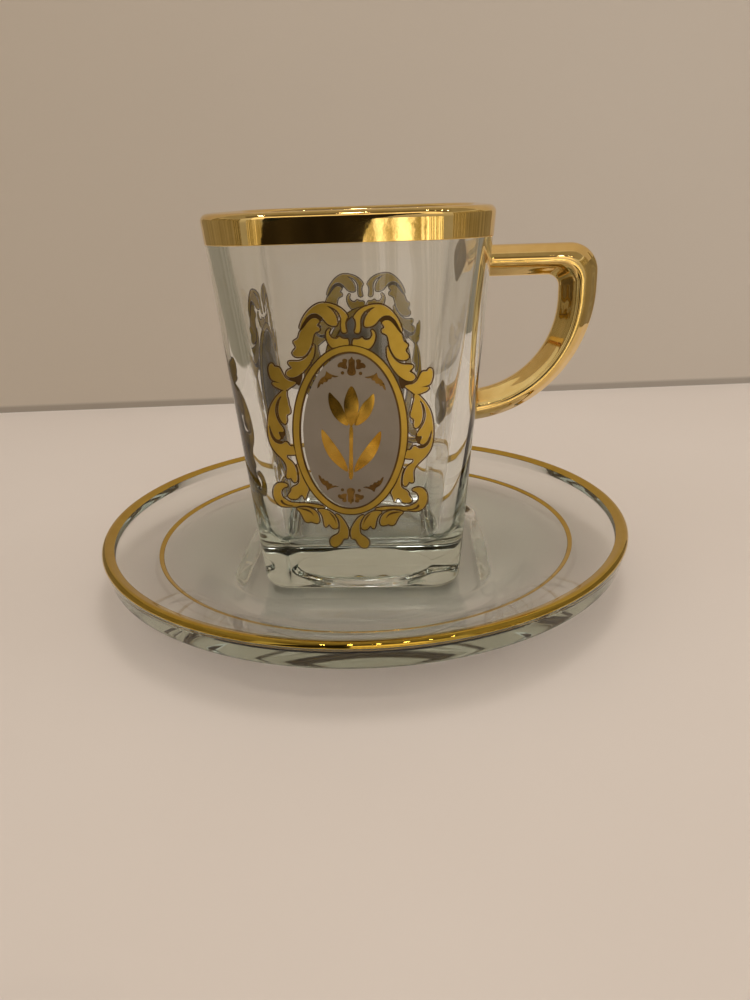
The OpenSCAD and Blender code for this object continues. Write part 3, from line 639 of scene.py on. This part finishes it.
# The scroll frames: satin gold leaves with dark brown contours, printed as a transfer and fired on.
# One frame is drawn flat, leaf by leaf in millimetres from the middle of the oval, and laid on three walls.
ORNAMENT_Z = 36.2
WALL_LEAN = math.atan(TAPER)
half_leaves = [
    # Arch at the top with the strap that curls under it
    [(-9.48, 20.6), (-9.24, 21.7), (-8.65, 22.9), (-7.76, 24.05), (-6.77, 24.9), (-5.67, 25.4),
     (-4.47, 25.45), (-3.27, 25.2), (-2.17, 24.75), (-1.16, 23.95), (-0.6, 23.1), (-0.85, 22.7),
     (-1.04, 21.9), (-0.98, 21), (-0.83, 20.35), (-1.23, 20.15), (-1.63, 20.4), (-1.74, 21.4),
     (-1.7, 22.5), (-1.95, 23.4), (-2.51, 24.2), (-3.37, 24.75), (-4.42, 25), (-3.96, 24.6), (-3.36, 24),
     (-2.85, 23.2), (-2.59, 22.4), (-2.54, 21.7), (-2.79, 21.4), (-3.44, 21.4), (-4.14, 21.65),
     (-4.74, 22.2), (-5.25, 22.85), (-5.8, 23.3), (-6.45, 23.55), (-7.25, 23.5), (-8.05, 22.95),
     (-8.74, 21.9)],
    # Leaf hanging from the arch
    [(-6.85, 22.65), (-6.15, 22.5), (-5.84, 22.1), (-6.24, 21.6), (-6.28, 21.2), (-5.88, 20.9),
     (-5.88, 20.4), (-6.52, 20.1), (-6.92, 19.7), (-7.12, 19), (-7.31, 18.1), (-7.6, 17.2), (-8.09, 16.3),
     (-8.69, 15.6), (-9.48, 15.3), (-10.28, 15.3), (-10.79, 15.6), (-10.94, 16), (-10.64, 16.5),
     (-10.3, 16.9), (-10.35, 17.4), (-10.6, 17.8), (-10.66, 18.2), (-10.21, 18.5), (-9.81, 18.9),
     (-9.52, 19.8), (-9.23, 20.3), (-8.63, 21), (-8.04, 21.8), (-7.44, 22.4)],
    # Small volute over the ring
    [(-3.93, 20.75), (-4.38, 20.35), (-4.57, 19.6), (-4.41, 18.7), (-4.06, 17.95), (-3.5, 17.3),
     (-2.9, 17.3), (-2.1, 17.56), (-1.1, 17.78), (-0.46, 17.84), (-0.41, 18.35), (-0.61, 18.85),
     (-1.11, 18.85), (-1.72, 19), (-2.12, 19.25), (-2.41, 18.95), (-2.91, 18.8), (-3.51, 18.95),
     (-3.92, 19.4), (-4.12, 19.95), (-3.98, 20.4)],
    # Leaf along the upper side of the ring
    [(-6.9, 17.7), (-6.85, 16.9), (-6.94, 16), (-7.18, 15.2), (-7.67, 14.2), (-8.36, 13.2), (-9.16, 12.3),
     (-10.05, 11.6), (-10.85, 11.25), (-11.65, 11.25), (-12.15, 11.6), (-12.26, 12.1), (-11.86, 12.6),
     (-11.26, 12.9), (-11.21, 13.2), (-11.47, 13.5), (-11.77, 13.9), (-11.67, 14.25), (-10.87, 14.35),
     (-9.97, 14.35), (-9.18, 14.6), (-8.48, 15.1), (-7.79, 15.9), (-7.3, 16.8)],
    # Leaf that stands out at the upper side
    [(-15.17, 13.75), (-14.77, 13.6), (-14.56, 13.2), (-13.86, 13.1), (-13.46, 12.8), (-13.05, 11.9),
     (-12.55, 11), (-11.74, 10.5), (-10.84, 10.35), (-10.49, 10.15), (-10.93, 9.7), (-11.73, 9.15),
     (-12.38, 8.65), (-13.03, 8.65), (-13.83, 9), (-14.53, 9.35), (-14.99, 9.9), (-14.64, 10.1),
     (-13.54, 10.03), (-14.44, 10.35), (-15.14, 10.75), (-15.45, 11.5), (-15.61, 12.4), (-15.52, 13.3)],
    # Large scroll at the side, with the leaf inside it and the leaf below it
    [(-12.47, 8.55), (-12.37, 8.2), (-12.37, 7.5), (-12.16, 6.6), (-12.05, 5.7), (-11.84, 5),
     (-11.74, 4.3), (-11.88, 3.95), (-12.43, 3.6), (-12.53, 3.1), (-12.47, 2.5), (-12.62, 1.95),
     (-12.87, 1.75), (-13.32, 2.05), (-13.67, 2.6), (-13.93, 3.4), (-14.04, 4.4), (-13.95, 5.4),
     (-13.71, 6.4), (-13.36, 7.4), (-14.01, 6.9), (-14.45, 6), (-14.69, 5), (-14.73, 4), (-14.53, 3),
     (-14.12, 2), (-13.61, 1.2), (-13.26, 0.6), (-13.2, 0.15), (-13.45, 0), (-14.05, 0.05), (-14.2, -0.3),
     (-13.94, -0.8), (-13.84, -1.3), (-14.09, -1.6), (-14.54, -1.6), (-15.04, -1.1), (-15.45, -0.2),
     (-15.71, 0.6), (-15.96, 1.4), (-16.06, 0.6), (-15.95, -0.5), (-15.54, -1.55), (-14.93, -2.3),
     (-14.23, -2.6), (-13.63, -2.6), (-13.23, -2.35), (-12.83, -2.15), (-12.48, -2.35), (-12.23, -2.8),
     (-11.72, -3.1), (-11.37, -3.05), (-11.17, -3.6), (-11.06, -4.2), (-10.96, -4.7), (-11.81, -4.8),
     (-12.61, -4.85), (-12.75, -5.3), (-12.5, -5.8), (-12, -6.2), (-11.59, -6.6), (-11.19, -7.3),
     (-10.88, -8.3), (-10.77, -9.3), (-10.76, -10.2), (-10.96, -10.7), (-11.36, -10.8), (-11.66, -10.4),
     (-11.96, -9.9), (-12.31, -10), (-12.66, -10), (-12.87, -9.6), (-12.78, -8.6), (-12.73, -7.6),
     (-12.99, -6.7), (-13.5, -5.9), (-14.21, -5.1), (-15.01, -4.2), (-15.72, -3), (-16.14, -1.6),
     (-16.3, 0.2), (-16.22, 2), (-15.98, 3.6), (-15.59, 5), (-15, 6.2), (-14.21, 7.3), (-13.47, 8.05),
     (-13.02, 8.5)],
    # Stem beside the ring with its lobed leaf
    [(-10.54, -7), (-10.13, -8.2), (-9.72, -9.5), (-9.26, -10.7), (-8.8, -11.6), (-8.49, -12.5),
     (-8.78, -13.3), (-9.03, -14.1), (-9.27, -14.5), (-9.48, -14), (-9.83, -13.6), (-10.28, -13.85),
     (-10.72, -14.4), (-11.22, -14.6), (-11.92, -14.6), (-12.48, -14.35), (-12.63, -13.9),
     (-12.28, -13.35), (-11.99, -12.9), (-11.89, -12.35), (-11.45, -11.9), (-10.8, -11.55), (-10.35, -11),
     (-10.21, -10.2), (-10.27, -9), (-10.43, -7.9), (-10.64, -7.2)],
    # Corner scroll and the band that joins it to the ring
    [(-12.85, -11.5), (-13.45, -11.2), (-14.25, -11.15), (-14.95, -11.45), (-15.45, -12.05),
     (-15.74, -13), (-15.73, -14.1), (-15.42, -15.1), (-14.91, -15.8), (-14.21, -16.3), (-13.21, -16.45),
     (-12.11, -16.35), (-11.11, -16.4), (-10.41, -16.15), (-9.51, -16.05), (-8.31, -16.1),
     (-7.31, -16.35), (-6.51, -16.45), (-5.31, -16.35), (-6.51, -15.95), (-7.91, -15.75), (-9.51, -15.65),
     (-11.11, -15.65), (-12.22, -15.5), (-13.02, -15.05), (-13.72, -14.55), (-14.08, -13.9),
     (-14.14, -13.1), (-13.84, -12.4), (-13.35, -12), (-12.9, -11.85)],
    # First hanging leaf
    [(-10.9, -16.85), (-10.3, -17.55), (-9.79, -18.5), (-9.43, -19.4), (-9.08, -19.8), (-8.58, -19.9),
     (-8.08, -19.7), (-7.58, -19.9), (-6.88, -20.05), (-6.48, -19.8), (-6.38, -19.1), (-6.59, -18.2),
     (-7.1, -17.4), (-7.9, -16.85), (-8.91, -16.55), (-9.91, -16.6)],
    # Second hanging leaf
    [(-6.5, -17), (-6, -17.6), (-5.59, -18.5), (-5.38, -19.5), (-5.27, -20.3), (-5.07, -20.8),
     (-4.77, -20.7), (-4.47, -20.3), (-4.17, -20.3), (-3.87, -20.7), (-3.47, -21.1), (-2.97, -21.15),
     (-2.57, -20.9), (-2.47, -20.2), (-2.68, -19.2), (-3.19, -18.2), (-3.9, -17.5), (-4.8, -17),
     (-5.7, -16.8)],
    # Leaf at the bottom
    [(-2.89, -17.95), (-2.19, -18.2), (-1.48, -19), (-0.88, -20), (-0.47, -20.9), (-0.26, -21.8),
     (-0.3, -22.7), (-0.55, -23.4), (-1.1, -23.45), (-1.44, -23.8), (-1.84, -24.6), (-2.33, -25.2),
     (-3.03, -25.55), (-3.63, -25.4), (-3.98, -24.9), (-4.09, -24.2), (-3.8, -23.5), (-3.2, -23),
     (-2.45, -22.5), (-2.11, -21.9), (-2.02, -21), (-2.03, -20), (-2.28, -19)],
]
half_shades = [
    # Deep shade under the arch
    [(-9.53, 20.3), (-8.94, 21.6), (-8.15, 22.8), (-7.25, 23.4), (-6.35, 23.5), (-5.65, 23.1),
     (-5.25, 22.6), (-5.74, 22.1), (-6.04, 22.4), (-6.65, 22.7), (-7.54, 22.3), (-8.24, 21.5),
     (-9.03, 20.5)],
    # Corner between three leaves at the upper side
    [(-11.95, 11.1), (-10.85, 11.2), (-9.95, 11.6), (-9.26, 12.1), (-9.25, 11), (-9.83, 9.6),
     (-10.54, 10.1), (-11.14, 10.45)],
    # Crescent in the large scroll
    [(-15.86, 0.6), (-15.54, -0.8), (-14.84, -1.7), (-14.03, -1.9), (-13.43, -2), (-13.93, -2.5),
     (-14.73, -2.3), (-15.44, -1.5)],
    # Eye of the large scroll
    [(-14.05, 0), (-13.25, 0.1), (-12.9, 0.2), (-12.85, -0.5), (-13.14, -1.1), (-13.44, -1.6),
     (-13.94, -1.5), (-14.04, -0.8)],
]
half_strokes = [
    # In the corner scroll
    [(-14.02, -14.9), (-13.62, -15.5), (-12.81, -15.95), (-11.81, -16.1), (-11.91, -16.25),
     (-12.91, -16.25), (-13.81, -15.95), (-14.32, -15.3)],
    # In the first hanging leaf
    [(-10.6, -16.75), (-9.5, -16.75), (-8.5, -17), (-7.8, -17.6), (-7.49, -18.4), (-8.05, -17.75),
     (-8.8, -17.35), (-9.6, -17.1)],
    # In the second hanging leaf
    [(-4.3, -17.35), (-3.59, -17.95), (-3.04, -18.9), (-2.82, -20.2), (-3.08, -19.4), (-3.49, -18.6),
     (-3.99, -17.9)],
]


def smooth(outline, steps=4):
    """A closed curve through the points of an outline."""
    count = len(outline)
    curve = []
    for k in range(count):
        a, b, c, d = (outline[(k + j) % count] for j in (-1, 0, 1, 2))
        for i in range(steps):
            t = i / steps
            curve.append(tuple(
                0.5 * (2 * q + (r - p) * t + (2 * p - 5 * q + 4 * r - s) * t * t
                       + (3 * q - p - 3 * r + s) * t ** 3)
                for p, q, r, s in zip(a, b, c, d)))
    return curve


def swollen(outline, by):
    """The outline moved outwards by a margin."""
    count = len(outline)
    area = sum(outline[k - 1][0] * outline[k][1] - outline[k][0] * outline[k - 1][1] for k in range(count))
    grown = []
    for k in range(count):
        (x0, y0), (x1, y1) = outline[k - 1], outline[(k + 1) % count]
        length = math.hypot(x1 - x0, y1 - y0) or 1.0
        side = math.copysign(by / length, area)
        grown.append((outline[k][0] + side * (y1 - y0), outline[k][1] - side * (x1 - x0)))
    return grown


def flat_print(name, outlines, low, high):
    """A flat print with one island for each outline, between two levels over the wall."""
    bpy.ops.object.select_all(action="DESELECT")
    bpy.ops.mesh.primitive_circle_add(vertices=3, radius=0.001)
    piece = bpy.context.object
    piece.name = piece.data.name = name
    bpy.ops.object.mode_set(mode="EDIT")
    bpy.ops.mesh.select_all(action="SELECT")
    bpy.ops.mesh.delete(type="VERT")
    for outline in outlines:
        bpy.ops.mesh.select_all(action="DESELECT")
        bpy.ops.mesh.primitive_circle_add(vertices=len(outline), radius=0.001, fill_type="NGON")
        mesh = bmesh.from_edit_mesh(piece.data)
        mesh.verts.ensure_lookup_table()
        for vertex, (u, v) in zip(mesh.verts[-len(outline):], outline):
            vertex.co = (u, v, low)
        bpy.ops.mesh.extrude_region_move(TRANSFORM_OT_translate={"value": (0, 0, high - low)})
    bpy.ops.mesh.select_all(action="SELECT")
    bpy.ops.mesh.quads_convert_to_tris(quad_method="BEAUTY", ngon_method="BEAUTY")
    bpy.ops.mesh.normals_make_consistent(inside=False)
    bpy.ops.object.mode_set(mode="OBJECT")
    return piece


def on_wall(master, name, turned, across, tilt, node, finish, underside):
    """A copy of a flat print, laid on one wall and around its corners, off the middle and out of true."""
    bpy.ops.object.select_all(action="DESELECT")
    master.select_set(True)
    bpy.context.view_layer.objects.active = master
    bpy.ops.object.duplicate()
    piece = bpy.context.object
    piece.name = piece.data.name = name
    lowest = min(vertex.co.z for vertex in piece.data.vertices) + 0.001
    for face in piece.data.polygons:
        face.material_index = int(all(piece.data.vertices[k].co.z < lowest for k in face.vertices))
    ct, st, cr, sr = math.cos(tilt), math.sin(tilt), math.cos(turned), math.sin(turned)
    for vertex in piece.data.vertices:
        u, v, n = vertex.co
        u, v = across + u * ct + v * st, v * ct - u * st
        half = half_width(ORNAMENT_Z) + v * math.sin(WALL_LEAN) + n * math.cos(WALL_LEAN)
        z = ORNAMENT_Z + v * math.cos(WALL_LEAN) - n * math.sin(WALL_LEAN)
        x, y = u, -half
        if abs(u) > CORNER:
            bend = half - CORNER
            angle = (abs(u) - CORNER) / bend
            x, y = math.copysign(CORNER + bend * math.sin(angle), u), -CORNER - bend * math.cos(angle)
        vertex.co = Vector((cr * x - sr * y, sr * x + cr * y, z + CUP_Z)) * MM
    piece.data.materials.clear()
    piece.data.materials.append(finish)
    piece.data.materials.append(underside)
    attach(piece, "cup")
    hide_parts(node)
    return piece


def mirrored(outline):
    return [(-u, v) for u, v in outline[::-1]]


def oval(a, b, count=120):
    angles = [2 * math.pi * k / count for k in range(count)]
    return [(a * math.cos(angle), b * math.sin(angle)) for angle in angles]


def flat_band(name, outer, inner, low, high):
    """A flat closed band between two outlines."""
    loops = [[(u / MM, v / MM, z / MM) for u, v in line]
             for line, z in ((outer, low), (outer, high), (inner, high), (inner, low), (outer, low))]
    band = drawn_out(name, loops, closed=True)
    bpy.ops.object.shade_flat()
    return band


def joined(first, second):
    bpy.ops.object.select_all(action="DESELECT")
    second.select_set(True)
    first.select_set(True)
    bpy.context.view_layer.objects.active = first
    bpy.ops.object.join()
    return first


def both_halves(outlines):
    left = [smooth(line) for line in outlines]
    return left + [mirrored(line) for line in left]


# Levels of gold, ink and strokes over the wall, and how far the ink reaches out of and under each leaf
GOLD_LOW, GOLD_HIGH, INK_LOW, INK_HIGH, STROKE_LOW, STROKE_HIGH = -0.04, 0.10, -0.02, 0.06, 0.08, 0.115
LINE, TUCK = 0.32, -0.06
RING_OUT, RING_IN, INK_OUT, INK_IN = (11.2, 17.65), (10.1, 16.6), (11.5, 17.95), (9.7, 16.22)
leaf_lines = both_halves(half_leaves)
gold_print = flat_print("gold_print", leaf_lines, GOLD_LOW, GOLD_HIGH)
gold_print = joined(gold_print, flat_band("gold_ring", oval(*RING_OUT), oval(*RING_IN), GOLD_LOW, GOLD_HIGH))
contour_print = flat_print("contour_print", both_halves(half_shades), INK_LOW, INK_HIGH)
strokes = flat_print("stroke_print", both_halves(half_strokes), STROKE_LOW, STROKE_HIGH)
contour_print = joined(contour_print, strokes)
ink_ring = flat_band("contour_ring", oval(*INK_OUT), oval(*INK_IN), INK_LOW, INK_HIGH)
contour_print = joined(contour_print, ink_ring)
for line in leaf_lines:
    ink_line = flat_band("contour_band", swollen(line, LINE), swollen(line, TUCK), INK_LOW, INK_HIGH)
    contour_print = joined(contour_print, ink_line)
satin_gold = fired_skin(
    "satin_gold", grain_size=420.0, grain_depth=4.0, thin_at=0.3,
    thin=(0.47, 0.305, 0.048, 1), thick=(0.53, 0.35, 0.062, 1), metal=0.9, dull=0.26, sway=0.06)
dark_contour = fired_skin(
    "dark_contour", grain_size=300.0, grain_depth=2.0, thin_at=0.35,
    thin=(0.075, 0.035, 0.006, 1), thick=(0.13, 0.065, 0.011, 1), metal=0.6, dull=0.34)
# Each wall by its name, its turn around the cup and the tilt of its print, in degrees
walls = (("front", 0, 3.1), ("left", -90, 0), ("back", 180, 0))
FRAME_OFF = -0.55
for side, turned, tilt in walls:
    turned, tilt = math.radians(turned), math.radians(tilt)
    on_wall(contour_print, "frame_contour_" + side, turned, FRAME_OFF, tilt,
            "frame_" + side, dark_contour, dark_contour)
    on_wall(gold_print, "frame_gilding_" + side, turned, FRAME_OFF, tilt,
            "frame_" + side, satin_gold, gold_underside)
for master in (contour_print, gold_print):
    bpy.data.objects.remove(master)

# The ovals: a skin of silver grey lustre inside each frame, with the small gold ornaments fired on top.
# Each holds a tulip on its stem between two leaves, a palmette above and below, and four sprigs.
OVAL_A, OVAL_B, SILVER_LOW, SILVER_HIGH, OVAL_OFF = 9.5, 16.15, -0.03, 0.05, -0.35
oval_shares = (0.02, 0.25, 0.5, 0.75, 0.92, 1.0)
silver_loops = [(t, SILVER_HIGH) for t in oval_shares] + [(t, SILVER_LOW) for t in oval_shares[::-1]]
silver_print = drawn_out("silver_print", [
    [(u * t / MM, v * t / MM, z / MM) for u, v in oval(OVAL_A, OVAL_B)] for t, z in silver_loops])
bpy.ops.object.shade_flat()
FLOWER_LOW, FLOWER_HIGH, SPRIG_HIGH = 0.04, 0.12, 0.11
half_flower = [
    # Side petal of the tulip
    [(0.55, 1.9), (1.9, 2.2), (3.5, 3.8), (4.4, 6.2), (4.3, 8.4), (3.2, 7.4), (2.2, 6.3), (1.35, 4.5)],
    # Leaf beside the stem
    [(0.65, -8.1), (2.4, -7.1), (4.5, -4.8), (5.7, -1.8), (5.8, 0.8), (4.2, -1.0), (2.4, -3.6),
     (1.1, -6.0)],
]
flower = [smooth(line) for line in half_flower]
flower += [mirrored(line) for line in flower]
flower += [smooth(line) for line in (
    [(0, 1.6), (-1.05, 3.4), (-1.45, 6.2), (-0.85, 8.6), (0, 9.8), (0.85, 8.6), (1.45, 6.2), (1.05, 3.4)],
    [(-0.34, 1.2), (0.34, 1.2), (0.36, -3.6), (0.4, -9.2), (-0.4, -9.2), (-0.36, -3.6)])]
flower_print = flat_print("flower_print", flower, FLOWER_LOW, FLOWER_HIGH)
half_sprigs = [
    # Sprig
    [(-6.58, 9.2), (-6.39, 10.2), (-5.8, 11.2), (-5.1, 11.7), (-4.81, 12.6), (-4.41, 12.3), (-3.8, 12),
     (-3.1, 11.8), (-2.5, 11.7), (-3.1, 11.45), (-3.7, 11.5), (-3.9, 11.1), (-4.4, 11), (-4.69, 10.5),
     (-5.29, 10.4), (-5.49, 10), (-5.89, 10), (-6.18, 9.5)],
    # Side petal of the palmette
    [(-0.82, 13.3), (-0.97, 14.1), (-0.83, 14.9), (-1.33, 15.15), (-1.78, 14.9), (-1.73, 14.5),
     (-2.23, 14.4), (-2.67, 13.9), (-2.52, 13.45), (-2.02, 13.45), (-1.41, 13.2)],
]
palmette = [(-0.85, 12.5), (-0.62, 13.6), (-0.6, 14.9), (-0.3, 15.1), (0, 15.6), (0.3, 15.1), (0.6, 14.9),
            (0.62, 13.6), (0.85, 12.5), (0.4, 11.95), (-0.4, 11.95)]
DOT_X, DOT_Z, DOT_R, FLIP = -1.72, 12.38, 0.34, 0.15
dot = [(DOT_X + DOT_R * u, DOT_Z + DOT_R * v) for u, v in oval(1, 1, 14)]
sprigs = both_halves(half_sprigs) + [dot, mirrored(dot), smooth(palmette)]
sprigs += [[(u, FLIP - v) for u, v in line[::-1]] for line in sprigs]
motif_print = flat_print("motif_print", sprigs, FLOWER_LOW, SPRIG_HIGH)

silver_lustre = fired_skin(
    "silver_lustre", grain_size=160.0, grain_depth=4.0, thin_at=0.3,
    thin=(0.255, 0.215, 0.17, 1), thick=(0.295, 0.25, 0.205, 1), metal=0.5, dull=0.40, sway=0.14)
silver_underside = fired_skin(
    "silver_underside", grain_size=160.0, grain_depth=3.0, thin_at=0.3,
    thin=(0.37, 0.305, 0.245, 1), thick=(0.43, 0.36, 0.295, 1), metal=0.1, dull=0.3, sway=0.1)
motif_brown = fired_skin(
    "motif_brown", grain_size=260.0, grain_depth=3.0, thin_at=0.3,
    thin=(0.10, 0.045, 0.006, 1), thick=(0.26, 0.14, 0.025, 1), metal=0.7, dull=0.22, sway=0.1)
flower_gold, wire = new_finish("flower_gold")
place = wire.add("ShaderNodeTexCoord", out="Object")
swell = wire.add("ShaderNodeTexNoise", {}, {"Vector": place, "Scale": 150.0, "Detail": 1.0})
tone = wire.add("ShaderNodeValToRGB", {"stops": [
    (0.3, (0.40, 0.21, 0.024, 1)), (0.7, (0.56, 0.34, 0.06, 1))]}, {"Fac": swell})
wave = wire.add("ShaderNodeBump", {}, {"Strength": 0.5, "Distance": 0.0008, "Height": swell}, "Normal")
foil = wire.add("ShaderNodeBsdfPrincipled", {}, {
    "Base Color": tone, "Metallic": 1.0, "Roughness": swell * 0.08 + 0.12, "Normal": wave}, "BSDF")
wire.add("ShaderNodeOutputMaterial", {}, {"Surface": foil})
for side, turned, tilt in walls:
    turned, tilt = math.radians(turned), math.radians(tilt)
    on_wall(silver_print, "oval_lustre_" + side, turned, OVAL_OFF, tilt,
            "medallion_" + side, silver_lustre, silver_underside)
    on_wall(flower_print, "oval_flower_" + side, turned, OVAL_OFF, tilt,
            "motif_" + side, flower_gold, gold_underside)
    on_wall(motif_print, "oval_sprigs_" + side, turned, OVAL_OFF, tilt,
            "motif_" + side, motif_brown, motif_brown)
for master in (silver_print, flower_print, motif_print):
    bpy.data.objects.remove(master)

bpy.context.view_layer.update()
